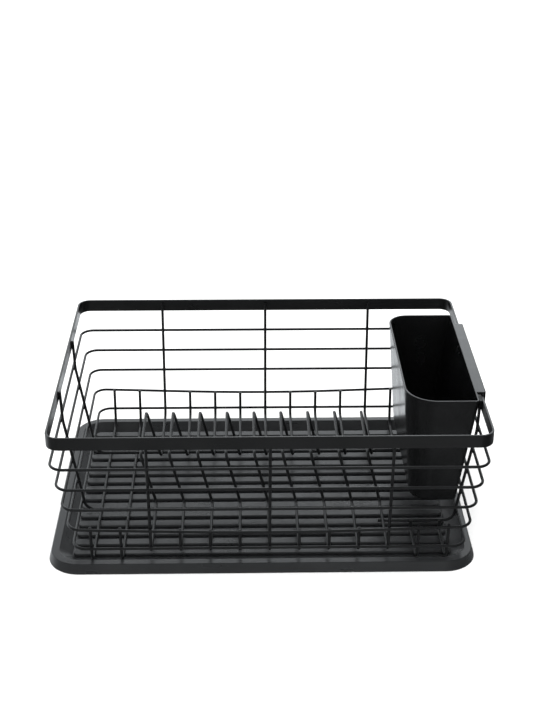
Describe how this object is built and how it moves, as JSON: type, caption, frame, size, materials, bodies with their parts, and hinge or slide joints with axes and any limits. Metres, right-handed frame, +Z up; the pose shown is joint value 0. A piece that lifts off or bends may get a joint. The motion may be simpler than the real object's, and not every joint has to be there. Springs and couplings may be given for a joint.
{
  "type": "dish drying rack",
  "caption": "Welded wire dish rack with a flat steel rim and leaning plate hoops, on a ribbed drip tray, with a tapered cutlery holder hooked over the side of the rim.",
  "frame": {"origin": "centre of the drip tray's flat underside", "axes": "+X along the rack towards the cutlery holder, +Y from front to back, +Z up"},
  "size_m": [0.4587, 0.328, 0.171],
  "materials": {
    "coated_band": "satin black powder coat on flat steel strip",
    "coated_wire": "satin black powder coat on steel wire",
    "tray_plastic": "fine grained black plastic with a soft sheen",
    "holder_plastic": "smooth satin black plastic"
  },
  "bodies": {
    "tray": {"drip_tray": "tray_plastic"},
    "basket": {"rim_band": "coated_band", "ring_wire_1": "coated_wire", "ring_wire_2": "coated_wire", "ring_wire_3": "coated_wire", "ring_wire_4": "coated_wire", "ring_wire_5": "coated_wire", "divider_wire_1": "coated_wire", "divider_wire_2": "coated_wire", "divider_wire_3": "coated_wire", "divider_wire_4": "coated_wire", "divider_wire_5": "coated_wire", "divider_wire_6": "coated_wire", "divider_wire_7": "coated_wire", "divider_wire_8": "coated_wire", "divider_wire_9": "coated_wire", "foot_wire_1": "coated_wire", "foot_wire_2": "coated_wire", "front_short_foot_1": "coated_wire", "front_short_foot_2": "coated_wire", "back_short_foot_1": "coated_wire", "back_short_foot_2": "coated_wire", "front_side_wire": "coated_wire", "back_side_wire": "coated_wire", "front_end_wire": "coated_wire", "back_end_wire": "coated_wire"},
    "holder": {"cutlery_holder": "holder_plastic"}
  },
  "joints": [
    {"name": "basket_lift", "type": "slide", "parent": "tray", "child": "basket", "axis": [0, 0, 1], "range_m": [0, 0.2]},
    {"name": "holder_lift", "type": "slide", "parent": "basket", "child": "holder", "axis": [0, 0, 1], "range_m": [0, 0.16]}
  ]
}
